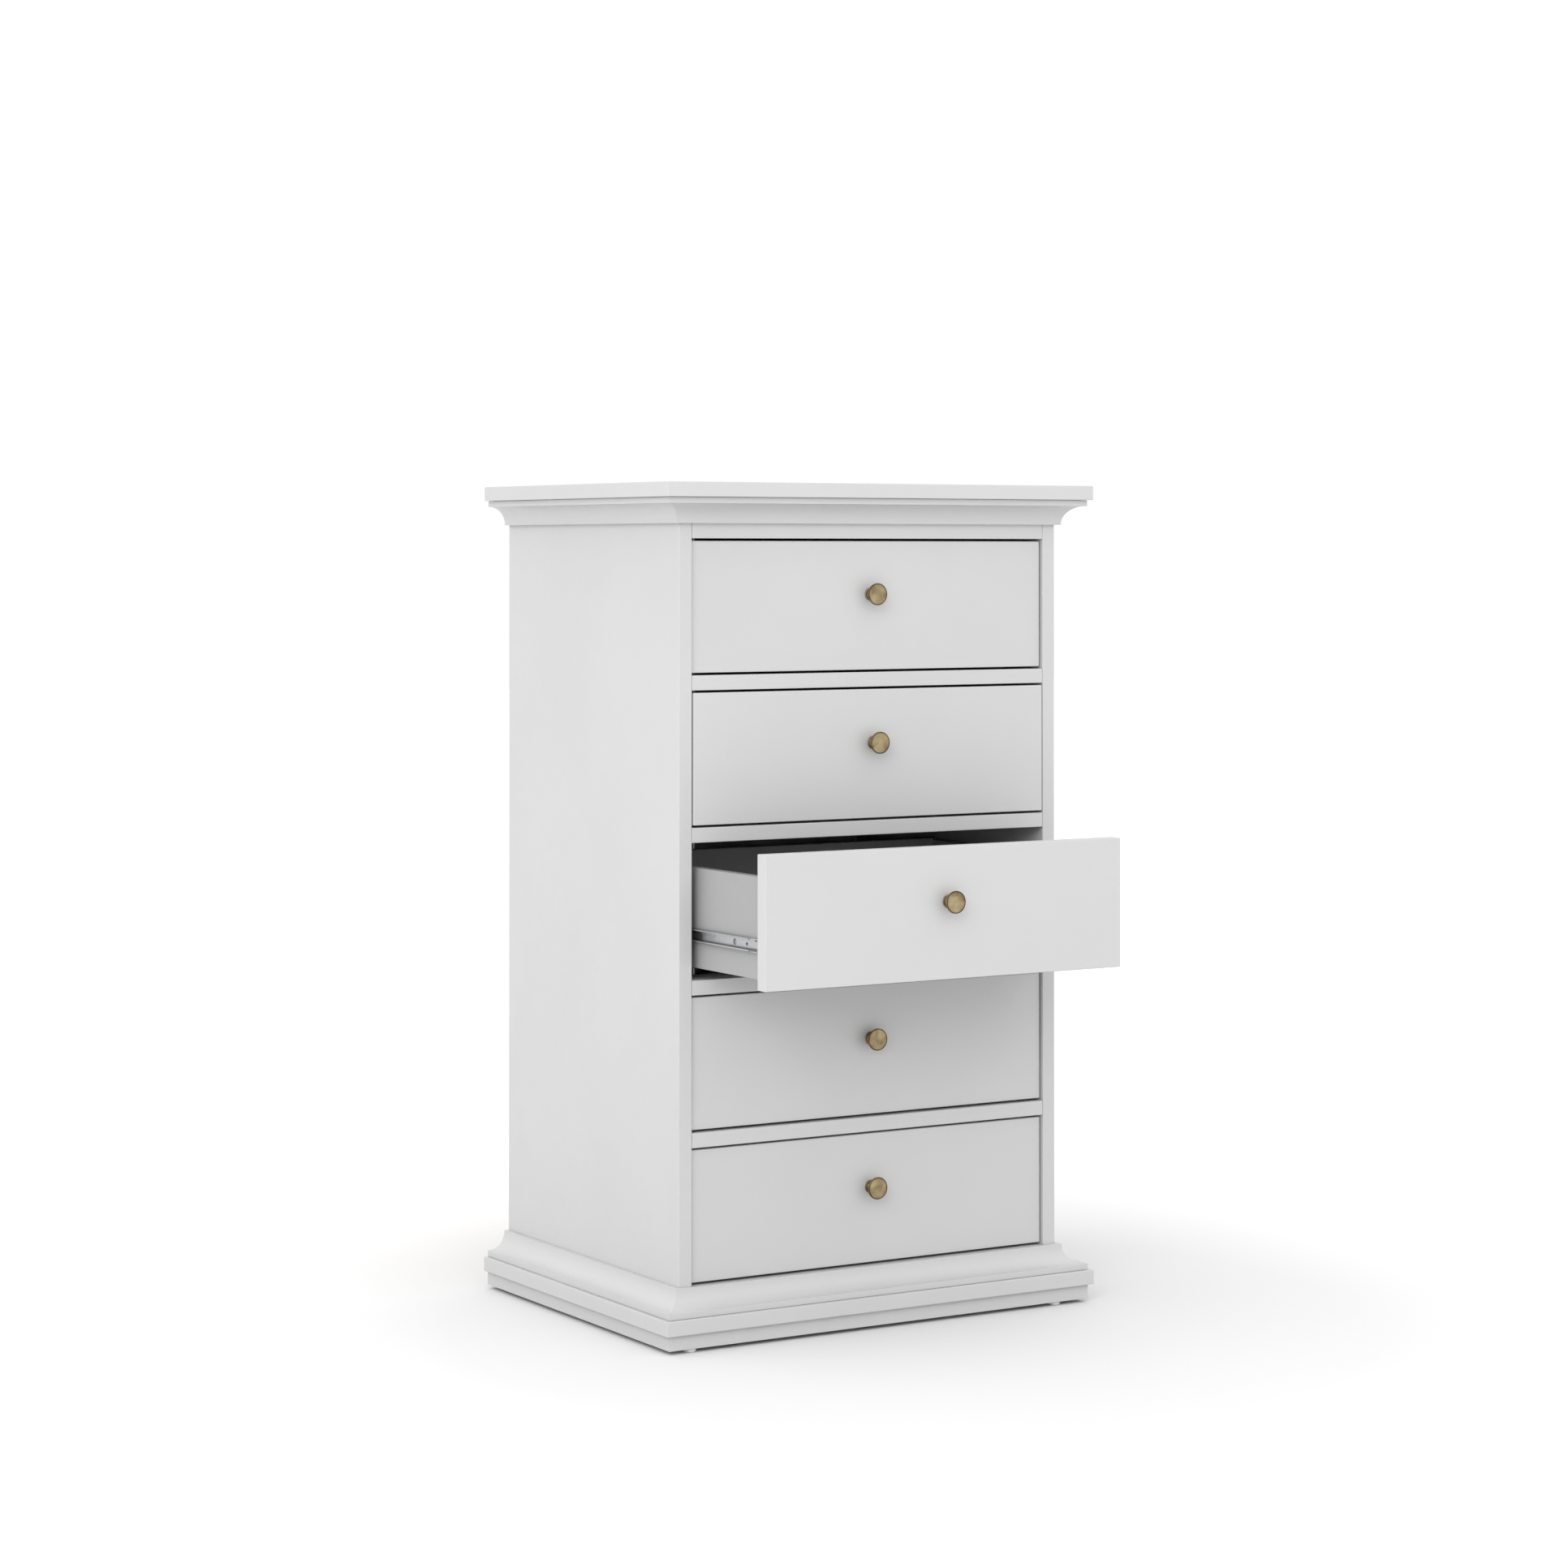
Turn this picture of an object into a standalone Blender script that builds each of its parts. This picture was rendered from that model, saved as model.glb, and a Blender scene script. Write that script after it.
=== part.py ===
"""A tall chest of five drawers.

Moulded cornice and base, inset drawer fronts with one round knob each, and
folded drawer boxes running on two-member ball-bearing slides.

Frame: metres, +Z up, +X to the right of somebody facing the chest, -Y towards them.
Sizes below are laid out from the front plane of the side panels (Y = 0) and the
floor (Z = 0). The "chest" empty then moves everything so that the origin is under
the middle of the whole chest, with drawer 3 standing open as it is built here.
"""
import math

import bmesh
import bpy

# Boards and carcass
BODY_WIDTH = 0.578            # across the outer faces of the side panels
BODY_DEPTH = 0.468            # front edge of a side panel to the back
BOARD = 0.019                 # every carcass board
OVERHANG = 0.0375             # top and base boards beyond the body: front, left and right
EASE = 0.0010                 # eased edge of a board
FIT = 0.0003                  # gap left where two pieces meet
RAIL_DEPTH = 0.060
REBATE_WIDTH = 0.008          # rebate for the back panel, along the rear inner edge of a side
REBATE_DEPTH = 0.004
BACK_THICKNESS = 0.003
FOLD_WIDTH = 0.0016           # kerf up the middle of the back panel, which folds it for packing
FOLD_SKIN = 0.0004            # what the kerf leaves of the panel

# Mouldings, one profile for cornice and base
PROJECTION = 0.0315           # fillet face beyond the body
FILLET_HEIGHT = 0.008
COVE_RADIUS = 0.024
QUIRK = 0.001                 # step between the fillet face and the cove
LIP = 0.001                   # square lip at the thin edge
COVE_STEPS = 8

# Plinth and glides
PLINTH_HEIGHT = 0.019
GLIDE_HEIGHT = 0.005
GLIDE_RADIUS = 0.0085
GLIDE_FROM_END = {"left": 0.035, "right": 0.048}
GLIDE_FROM_FACE = 0.011
GLIDE_SUNK = 0.001

# Drawers, number 1 at the top
DRAWERS = 5
OPENING_HEIGHT = 0.173
FRONT_GAP_Z = 0.003
FRONT_GAP_X = 0.0018
FRONT_RECESS = 0.005          # closed front behind the front plane
OPEN_BY = {2: 0.006, 3: 0.181}
BOX_WIDTH = 0.520             # across the drawer sides
BOX_DEPTH = 0.400
BOX_HEIGHT = 0.1285
BOX_UP = 0.012                # lower edge of the box above the lower edge of the front
SIDE_DROP = 0.0022            # how much lower the sides of the box are than its back
BOX_BOARD = 0.012
GROOVE_UP = 0.008
GROOVE_DEPTH = 0.005
BOTTOM_THICKNESS = 0.003

# Knob: (radius, distance out from the drawer front), turned about its screw
KNOB_UP = 0.098
KNOB_STEPS = 20
SCREW_RADIUS = 0.002
SCREW_HEAD_RADIUS = 0.004
SCREW_HEAD_HEIGHT = 0.002
SCREW_HOLE_RADIUS = 0.0025
KNOB_PROFILE = (
    (0.0086, FIT),
    (0.0086, 0.0020),
    (0.0075, 0.0026),
    (0.0075, 0.0046),
    (0.0058, 0.0075),
    (0.0058, 0.0125),
    (0.0095, 0.0155),
    (0.0138, 0.0166),
    (0.0143, 0.0172),
    (0.0143, 0.0184),
    (0.0134, 0.0192),
    (0.0126, 0.0188),
)

# Slides: cabinet channel on the side panel, runner on the drawer side
SLIDE_UP = 0.054              # slide centre line above the lower edge of the front
SLIDE_LENGTH = 0.400
CHANNEL_PLATE = (0.0012, 0.0080)      # thickness, half height
CHANNEL_LEG = (0.0072, 0.0034, 0.0046)  # reach, inner and outer half height
RUNNER_METAL = 0.0010
RUNNER_HALF = 0.00865
RUNNER_REACH = 0.0075
RUNNER_MOUTH_HALF = 0.0060

# Worked out from the sizes above
HALF_WIDTH = BODY_WIDTH / 2
INNER_HALF = HALF_WIDTH - BOARD
MOULDING_HEIGHT = FILLET_HEIGHT + COVE_RADIUS + LIP
BASE_BOARD_Z = GLIDE_HEIGHT + PLINTH_HEIGHT
BODY_Z = BASE_BOARD_Z + BOARD
FIRST_OPENING_Z = BODY_Z + MOULDING_HEIGHT
PITCH = OPENING_HEIGHT + BOARD
TOP_RAIL_Z = FIRST_OPENING_Z + DRAWERS * PITCH - BOARD
TOP_BOARD_Z = TOP_RAIL_Z + BOARD + MOULDING_HEIGHT
MITRE_GAP = FIT * math.sqrt(2)
FRONT_HEIGHT = OPENING_HEIGHT - 2 * FRONT_GAP_Z
FRONT_BACK_Y = FRONT_RECESS + BOARD
KNOB_OUT = max(out for radius, out in KNOB_PROFILE)
FOREMOST_Y = FRONT_RECESS - max(OPEN_BY.values()) - KNOB_OUT
MIDDLE_Y = (BODY_DEPTH + FOREMOST_Y) / 2


def make_material(name, colour, roughness, metallic=0.0):
    """A Principled material with one colour."""
    material = bpy.data.materials.new(name)
    material.use_nodes = True
    shader = material.node_tree.nodes["Principled BSDF"]
    shader.inputs["Base Color"].default_value = (*colour, 1.0)
    shader.inputs["Roughness"].default_value = roughness
    shader.inputs["Metallic"].default_value = metallic
    return material


def add_object(name, bm, material, parent):
    """Turn a bmesh into an object with outward faces under its parent."""
    bmesh.ops.recalc_face_normals(bm, faces=bm.faces)
    mesh = bpy.data.meshes.new(name)
    bm.to_mesh(mesh)
    bm.free()
    mesh.materials.append(material)
    piece = bpy.data.objects.new(name, mesh)
    bpy.context.collection.objects.link(piece)
    piece.parent = parent
    return piece


def add_empty(name, location, parent=None):
    """An empty that carries the pieces of one moving body."""
    empty = bpy.data.objects.new(name, None)
    bpy.context.collection.objects.link(empty)
    empty.location = location
    empty.parent = parent
    return empty


def add_board(name, low, high, material, parent, ease=EASE):
    """A board between two corners, with all its edges eased."""
    bm = bmesh.new()
    bmesh.ops.create_cube(bm, size=1.0)
    for vert in bm.verts:
        for axis in range(3):
            vert.co[axis] = high[axis] if vert.co[axis] > 0 else low[axis]
    if ease:
        bmesh.ops.bevel(bm, geom=bm.edges[:], offset=ease, segments=1, affect="EDGES")
    return add_object(name, bm, material, parent)


def add_upright(name, plan, low, high, material, parent):
    """Raise a closed outline of (x, y) points from one height to another."""
    bm = bmesh.new()
    face = bm.faces.new([bm.verts.new((x, y, low)) for x, y in plan])
    raised = bmesh.ops.extrude_face_region(bm, geom=[face])["geom"]
    tops = [item for item in raised if isinstance(item, bmesh.types.BMVert)]
    bmesh.ops.translate(bm, verts=tops, vec=(0, 0, high - low))
    return add_object(name, bm, material, parent)


def add_swept(name, outline, stations, material, parent):
    """Carry a closed outline of (offset, height) points through stations in plan.

    A station (x, x_slope, y, y_slope) places an offset p at (x + x_slope * p, y + y_slope * p),
    so equal slopes make a mitre and a zero slope makes a square end.
    """
    bm = bmesh.new()
    rings = []
    for x, x_slope, y, y_slope in stations:
        ring = [bm.verts.new((x + x_slope * p, y + y_slope * p, z)) for p, z in outline]
        rings.append(ring)
    count = len(outline)
    for near, far in zip(rings, rings[1:]):
        for here in range(count):
            after = (here + 1) % count
            bm.faces.new((near[here], near[after], far[after], far[here]))
    bm.faces.new(rings[0])
    bm.faces.new(rings[-1])
    return add_object(name, bm, material, parent)


def turned_mesh(profile, steps):
    """Spin a (radius, y) profile, closed on the Y axis at both ends, into a solid."""
    bm = bmesh.new()
    verts = [bm.verts.new((radius, y, 0.0)) for radius, y in profile]
    edges = [bm.edges.new(pair) for pair in zip(verts, verts[1:])]
    bmesh.ops.spin(bm, geom=verts + edges, cent=(0, 0, 0), axis=(0, 1, 0),
                   angle=math.tau, steps=steps, use_merge=True)
    bmesh.ops.remove_doubles(bm, verts=bm.verts[:], dist=1e-6)
    return bm


def smooth(piece, angle=math.radians(35)):
    """Shade a round piece smooth, with its corners kept sharp."""
    piece.data.shade_smooth()
    piece.data.set_sharp_from_angle(angle=angle)


def add_boolean(piece, tool, operation):
    """Cut or join a hidden tool object into a piece."""
    tool.hide_render = True
    tool.display_type = "WIRE"
    modifier = piece.modifiers.new(tool.name, "BOOLEAN")
    modifier.operation = operation
    modifier.solver = "EXACT"
    modifier.object = tool


def moulding_outline(board_z, direction):
    """Fillet, quirk, cove, lip and land; height runs from the board in the given direction."""
    points = [(FIT, FIT), (PROJECTION, FIT), (PROJECTION, FILLET_HEIGHT)]
    centre = (PROJECTION - QUIRK, FILLET_HEIGHT + COVE_RADIUS)
    for step in range(COVE_STEPS + 1):
        angle = math.pi / 2 * step / COVE_STEPS
        offset = centre[0] - COVE_RADIUS * math.sin(angle)
        away = centre[1] - COVE_RADIUS * math.cos(angle)
        points.append((offset, away))
    points.append((centre[0] - COVE_RADIUS, MOULDING_HEIGHT))
    points.append((FIT, MOULDING_HEIGHT))
    return [(offset, board_z + direction * away) for offset, away in points]


def build_moulding(prefix, board_z, direction, white, chest):
    """Front strip mitred at both ends, and a strip along each side."""
    outline = moulding_outline(board_z, direction)
    stations = [(-HALF_WIDTH, -1, 0, -1), (HALF_WIDTH, 1, 0, -1)]
    front = add_swept(prefix + "_front", outline, stations, white, chest)
    smooth(front)
    for side, sign in (("left", -1), ("right", 1)):
        stations = [(sign * HALF_WIDTH, sign, MITRE_GAP, -1), (sign * HALF_WIDTH, sign, BODY_DEPTH, 0)]
        smooth(add_swept(prefix + "_" + side, outline, stations, white, chest))
    return front


def build_side_panels(white, chest):
    """Full-height sides, rebated along the rear inner edge for the back panel."""
    depth = BODY_DEPTH
    outline = [(0, EASE), (EASE, 0), (BOARD - EASE, 0), (BOARD, EASE),
               (BOARD, depth - REBATE_DEPTH), (BOARD - REBATE_WIDTH, depth - REBATE_DEPTH),
               (BOARD - REBATE_WIDTH, depth), (0, depth)]
    for side, sign in (("left", -1), ("right", 1)):
        plan = [(sign * (HALF_WIDTH - p), y) for p, y in outline]
        add_upright("side_panel_" + side, plan, BODY_Z + FIT, TOP_BOARD_Z - FIT, white, chest)


def build_back(hardboard, chest):
    """One sheet in the rebates of the sides, kerfed from behind so that it folds in the middle."""
    reach = INNER_HALF + REBATE_WIDTH - FIT
    near = BODY_DEPTH - REBATE_DEPTH + FIT
    far = near + BACK_THICKNESS
    kerf = FOLD_WIDTH / 2
    skin = near + FOLD_SKIN
    outline = [(-reach, near), (reach, near), (reach, far), (kerf, far), (kerf, skin),
               (-kerf, skin), (-kerf, far), (-reach, far)]
    add_upright("back_panel", outline, BODY_Z + FIT, TOP_BOARD_Z - FIT, hardboard, chest)


def build_plinth(white, chest):
    """Mitred front and sides, a back rail between the sides, and a glide under each corner."""
    outer_half = HALF_WIDTH + PROJECTION
    low, high = GLIDE_HEIGHT, BASE_BOARD_Z - FIT
    outline = [(0, low), (BOARD, low), (BOARD, high), (0, high)]
    face_y = -PROJECTION
    front_stations = [(-outer_half, 1, face_y, 1), (outer_half, -1, face_y, 1)]
    front = add_swept("plinth_front", outline, front_stations, white, chest)
    for side, sign in (("left", -1), ("right", 1)):
        stations = [(sign * outer_half, -sign, face_y + MITRE_GAP, 1), (sign * outer_half, -sign, BODY_DEPTH, 0)]
        add_swept("plinth_" + side, outline, stations, white, chest)
    back_half = outer_half - BOARD - FIT
    back = add_board("plinth_back", (-back_half, BODY_DEPTH - BOARD, low), (back_half, BODY_DEPTH, high),
                     white, chest, ease=0)
    for rail, y in ((front, face_y + GLIDE_FROM_FACE), (back, BODY_DEPTH - GLIDE_FROM_FACE)):
        for side, sign in (("left", -1), ("right", 1)):
            bm = bmesh.new()
            height = GLIDE_HEIGHT + GLIDE_SUNK
            bmesh.ops.create_cone(bm, cap_ends=True, segments=16, radius1=GLIDE_RADIUS - 0.001,
                                  radius2=GLIDE_RADIUS, depth=height)
            glide_x = sign * (outer_half - GLIDE_FROM_END[side])
            bmesh.ops.translate(bm, verts=bm.verts[:], vec=(glide_x, y, height / 2))
            glide = add_object(rail.name + "_glide_" + side, bm, white, chest)
            add_boolean(rail, glide, "UNION")


def build_carcass(white, hardboard, chest):
    """Everything that stands still, apart from the cabinet channels."""
    wide = HALF_WIDTH + OVERHANG
    add_board("base_board", (-wide, -OVERHANG, BASE_BOARD_Z), (wide, BODY_DEPTH, BODY_Z), white, chest)
    add_board("top_panel", (-wide, -OVERHANG, TOP_BOARD_Z), (wide, BODY_DEPTH, TOP_BOARD_Z + BOARD), white, chest)
    build_side_panels(white, chest)
    build_moulding("cornice", TOP_BOARD_Z, -1, white, chest)
    reach = INNER_HALF - FIT
    base_front = build_moulding("base_moulding", BODY_Z, 1, white, chest)
    rail = add_board("bottom_rail", (-reach, -2 * FIT, BODY_Z + 2 * FIT), (reach, BOARD, FIRST_OPENING_Z - FIT),
                     white, chest, ease=0)
    add_boolean(base_front, rail, "UNION")
    build_plinth(white, chest)
    for number in range(1, DRAWERS):
        low_z = opening_z(number) - BOARD
        add_board(f"rail_{number}", (-reach, 0, low_z), (reach, RAIL_DEPTH, low_z + BOARD), white, chest)
    add_board("top_rail", (-reach, 0, TOP_RAIL_Z), (reach, BOARD, TOP_BOARD_Z - FIT), white, chest)
    build_back(hardboard, chest)


def opening_z(number):
    """Lower edge of a drawer's opening; drawer 1 is the top one."""
    return FIRST_OPENING_Z + (DRAWERS - number) * PITCH


def build_front(number, white, drawer):
    """Inset front with its screw hole and the groove that holds the drawer bottom."""
    half = INNER_HALF - FRONT_GAP_X
    front = add_board(f"drawer_{number}_front", (-half, FRONT_RECESS, 0), (half, FRONT_BACK_Y, FRONT_HEIGHT),
                      white, drawer)
    groove_z = BOX_UP + GROOVE_UP
    groove_half = BOX_WIDTH / 2 - BOX_BOARD + GROOVE_DEPTH
    groove = add_board(f"groove_cutter_{number}", (-groove_half, FRONT_BACK_Y - GROOVE_DEPTH, groove_z),
                       (groove_half, FRONT_BACK_Y + 0.01, groove_z + BOTTOM_THICKNESS + 2 * FIT),
                       white, drawer, ease=0)
    hole_bm = bmesh.new()
    bmesh.ops.create_cone(hole_bm, cap_ends=True, segments=16, radius1=SCREW_HOLE_RADIUS,
                          radius2=SCREW_HOLE_RADIUS, depth=4 * BOARD)
    hole = add_object(f"hole_cutter_{number}", hole_bm, white, drawer)
    hole.location = (0, FRONT_RECESS + BOARD / 2, KNOB_UP)
    hole.rotation_euler = (math.pi / 2, 0, 0)
    add_boolean(front, groove, "DIFFERENCE")
    add_boolean(front, hole, "DIFFERENCE")


def build_box(number, foil, hardboard, drawer):
    """Sides and back folded from one grooved strip, and the bottom in its groove."""
    half = BOX_WIDTH / 2
    low, high = BOX_UP, BOX_UP + BOX_HEIGHT
    groove_low = low + GROOVE_UP
    groove_high = groove_low + BOTTOM_THICKNESS + 2 * FIT
    groove_floor = BOX_BOARD - GROOVE_DEPTH
    outline = [(0, low), (BOX_BOARD, low), (BOX_BOARD, groove_low), (groove_floor, groove_low),
               (groove_floor, groove_high), (BOX_BOARD, groove_high), (BOX_BOARD, high), (0, high)]
    near, far = FRONT_BACK_Y + FIT, FRONT_BACK_Y + BOX_DEPTH
    stations = [(-half, 1, near, 0), (-half, 1, far, -1), (half, -1, far, -1), (half, -1, near, 0)]
    box = add_swept(f"drawer_{number}_box", outline, stations, foil, drawer)
    for side, sign in (("left", -1), ("right", 1)):
        outer, inner = sign * (half + 0.01), sign * (half - BOX_BOARD - 0.01)
        trim = add_board(f"trim_cutter_{number}_{side}", (min(outer, inner), near - 0.01, high - SIDE_DROP),
                         (max(outer, inner), far - BOX_BOARD, high + 0.01), foil, drawer, ease=0)
        add_boolean(box, trim, "DIFFERENCE")
    reach = half - groove_floor - FIT
    add_board(f"drawer_{number}_bottom", (-reach, FRONT_BACK_Y - GROOVE_DEPTH + FIT, groove_low + FIT),
              (reach, far - groove_floor - FIT, groove_low + FIT + BOTTOM_THICKNESS), hardboard, drawer, ease=0)


def build_knob(number, brass, drawer):
    """Turned knob and the screw that holds it from inside the drawer, as one solid."""
    inside = -(BOARD + FIT)
    screw = [(0, inside - SCREW_HEAD_HEIGHT), (SCREW_HEAD_RADIUS, inside - SCREW_HEAD_HEIGHT),
             (SCREW_HEAD_RADIUS, inside), (SCREW_RADIUS, inside), (SCREW_RADIUS, FIT)]
    face = [(0.0, KNOB_PROFILE[-1][1])]
    profile = [(radius, -out) for radius, out in (*screw, *KNOB_PROFILE, *face)]
    knob = add_object(f"drawer_{number}_knob", turned_mesh(profile, KNOB_STEPS), brass, drawer)
    knob.location = (0, FRONT_RECESS, KNOB_UP)
    smooth(knob)


def channel_outline(centre_z):
    """Plate on the side panel with two legs that reach into the runner."""
    plate, plate_half = CHANNEL_PLATE
    reach, inner, outer = CHANNEL_LEG
    upper = [(plate, plate_half), (plate, outer), (reach, outer), (reach, inner), (plate, inner)]
    lower = [(p, -z) for p, z in reversed(upper)]
    points = [(0, -plate_half), (0, plate_half), *upper, *lower]
    return [(p, centre_z + z) for p, z in points]


def runner_outline(centre_z):
    """C section with its mouth towards the side panel."""
    metal, half, reach, mouth = RUNNER_METAL, RUNNER_HALF, RUNNER_REACH, RUNNER_MOUTH_HALF
    upper = [(0, half), (reach, half), (reach, mouth), (reach - metal, mouth),
             (reach - metal, half - metal), (metal, half - metal)]
    lower = [(p, -z) for p, z in reversed(upper)]
    return [(p, centre_z + z) for p, z in (*upper, *lower)]


def build_slides(number, zinc, drawer, chest):
    """Left and right: channel fixed to the chest, runner fixed to the drawer."""
    near, far = FRONT_BACK_Y + FIT, FRONT_BACK_Y + FIT + SLIDE_LENGTH
    fixed_z = opening_z(number) + FRONT_GAP_Z + SLIDE_UP
    for side, sign in (("left", -1), ("right", 1)):
        wall_x = sign * (INNER_HALF - FIT)
        channel = [(wall_x, -sign, near, 0), (wall_x, -sign, far, 0)]
        add_swept(f"drawer_{number}_channel_{side}", channel_outline(fixed_z), channel, zinc, chest)
        box_x = sign * (BOX_WIDTH / 2 + FIT)
        runner = [(box_x, sign, near, 0), (box_x, sign, far, 0)]
        add_swept(f"drawer_{number}_runner_{side}", runner_outline(SLIDE_UP), runner, zinc, drawer)


def build_chest():
    """All the pieces, with one empty for the chest and one for each drawer."""
    for item in list(bpy.data.objects):
        bpy.data.objects.remove(item)
    white = make_material("white_foil", (0.82, 0.82, 0.82), 0.42)
    hardboard = make_material("white_hardboard", (0.76, 0.75, 0.73), 0.55)
    grey = make_material("grey_foil", (0.50, 0.50, 0.50), 0.42)
    grey_hardboard = make_material("grey_hardboard", (0.47, 0.47, 0.47), 0.55)
    brass = make_material("antique_brass", (0.36, 0.29, 0.17), 0.34, metallic=1.0)
    zinc = make_material("zinc_steel", (0.62, 0.63, 0.64), 0.28, metallic=1.0)
    chest = add_empty("chest", (0, -MIDDLE_Y, 0))
    build_carcass(white, hardboard, chest)
    for number in range(1, DRAWERS + 1):
        place = (0, -OPEN_BY.get(number, 0.0), opening_z(number) + FRONT_GAP_Z)
        drawer = add_empty(f"drawer_{number}", place, chest)
        build_front(number, white, drawer)
        build_box(number, grey, grey_hardboard, drawer)
        build_knob(number, brass, drawer)
        build_slides(number, zinc, drawer, chest)


build_chest()
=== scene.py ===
"""A tall chest of five drawers in white foil, with brass knobs and ball-bearing slides.

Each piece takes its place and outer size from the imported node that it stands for. Fittings
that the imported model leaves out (balls, screws, nails, cams) are laid out from those nodes.
Metres, +Z up, and the front of the chest faces -Y.
"""
import math

import bmesh
import bpy
from mathutils import Matrix, Vector


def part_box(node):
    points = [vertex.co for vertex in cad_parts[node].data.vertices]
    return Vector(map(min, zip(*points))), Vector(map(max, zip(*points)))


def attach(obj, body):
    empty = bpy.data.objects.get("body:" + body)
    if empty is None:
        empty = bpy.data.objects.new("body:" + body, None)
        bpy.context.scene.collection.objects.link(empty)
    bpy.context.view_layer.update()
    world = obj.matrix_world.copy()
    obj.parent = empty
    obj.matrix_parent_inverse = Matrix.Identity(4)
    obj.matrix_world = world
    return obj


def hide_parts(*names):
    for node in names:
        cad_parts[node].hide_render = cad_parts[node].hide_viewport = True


# Boards
EDGE = 0.0010                         # radius along the edges of a board
CORNER_STEPS = 3
JOINT = 0.0003                        # gap between pieces that meet
SMOOTH_BELOW = math.radians(40)

# Mouldings, the same strip for cornice and base
FILLET_HEIGHT = 0.008
QUIRK = 0.001
COVE_RADIUS = 0.024
COVE_STEPS = 20
ARRIS = 0.0004                        # radius of the strip's sharp edges
MITRE_JOINT = 0.0001

# Back panel
REBATE_WIDTH = 0.008
REBATE_DEPTH = 0.004
FOLD_WIDTH = 0.0016
FOLD_SKIN = 0.0004
NAIL_SPACING = 0.110
NAIL_RADIUS = 0.0017
NAIL_HEIGHT = 0.0006

# Glides
GLIDE_RADIUS = 0.0085
GLIDE_HEIGHT = 0.005
GLIDE_FROM_END = {"left": 0.035, "right": 0.048}
GLIDE_FROM_FACE = 0.011
GLIDE_DISH = (0.0018, 0.0012)         # radius and depth of the dish round the nail

# Drawer boxes
BOX_BOARD = 0.012
BOX_TOP_RADIUS = 0.0010
SIDE_DROP = 0.0022                    # how much lower the sides of a drawer box are than its back
GROOVE_UP = 0.008
GROOVE_DEPTH = 0.005
BOTTOM_THICKNESS = 0.003
CAM_RADIUS = 0.006
CAM_DEPTH = 0.004
CAM_PROUD = 0.0002                    # rim above the board
CAM_FACE = -0.0003                    # middle of the cam, below the board
CAM_HOLE_PLAY = 0.0002
CAM_FROM_FRONT = 0.024
CAM_HEIGHTS = (0.034, 0.098)

# Knobs
KNOB_STEPS = 96
KNOB_FOOT = 0.0030                    # full patina in the foot's groove as far out as this
KNOB_NECK_SHADE = 0.9                 # painted shade of the neck under the face, reaching this at the face's height
SCREW_HEAD_RADIUS = 0.004
SCREW_HEAD_HEIGHT = 0.002
SCREW_SUNK = 0.0006                   # how far a screw head reaches into the piece it holds

# Slides: distances along a slide run from the back of the drawer front
SLIDE_METAL = 0.0010
RUNNER_MOUTH_HALF = 0.0060
CHANNEL_PLATE = 0.0012
CHANNEL_LEG_REACH = 0.0072
CHANNEL_LEG_INNER = 0.0034
CHANNEL_LEG_OUTER = 0.0046
PILOT_HOLE = (0.036, 0.0020)          # along the runner, radius
PILOT_DEPTH = 0.010
ROUND_WINDOW = (0.065, 0.0040)
LATCH_SLOT = (0.0055, 0.0165)         # from and to, along the runner
LATCH_SLOT_UP = (0.0046, 0.0062)      # from the runner's centre line
RUNNER_SCREWS = (0.114, 0.242, 0.338)
CHANNEL_SCREWS = (0.028, 0.188, 0.348)
SLIDE_SCREW_RADIUS = 0.0032
LIP_STARTS = 0.022
CAGE_FROM = 0.036
CAGE_LENGTH = 0.064
CAGE_METAL = 0.0004
BALL_RADIUS = 0.0015
BALL_UP = 0.006125
BALL_OUT = 0.00375
BALL_SPACING = 0.005

# Camera and light
CAMERA_AT = (-2.5990, -4.1850, 0.9999)
CAMERA_TURN = (90.568, 0.0, -31.337)  # degrees
CAMERA_LENS = 85.06
CAMERA_SHIFT_X = -0.00024
CAMERA_SHIFT_Y = -0.17147
DOME_LIGHT = (1.00, 1.80)             # near the horizon, overhead
DOME_RISES = (0.05, 1.0)              # heights on the unit dome between which the light grows
DOME_FAVOURS = (-1.0, -1.0, 0.0)      # the side that the dome is brightest on
DOME_WEIGHTS = (0.72, 1.24)           # away from that side, towards it
BACKDROP_TOWARD = (0.53, 0.85, 0.0)
BACKDROP_EDGE = (0.87, 0.95)          # cosines of the angles where the backdrop ends and is full
BACKDROP_LIGHT = 1.02
FLOOR_SHADOW_TONES = (0.64, 0.82)            # painted shadow near the chest, plain floor away from it
# centre of the floor's painted shadow
FLOOR_SHADOW_CENTRE = (0.05, -0.15, 0.0)
FLOOR_SHADOW_START = 0.6                      # from the painted shadow's centre to where the shadow starts fading
FLOOR_SHADOW_END = 1.5                       # and to where it is gone
KEY_AT = (-5.2, -4.6, 3.7)
KEY_TOWARD = (0.0, 0.0, 0.5)
KEY_SIZE = 3.6
KEY_POWER = 154.0


# ---------------------------------------------------------------- materials

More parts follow.
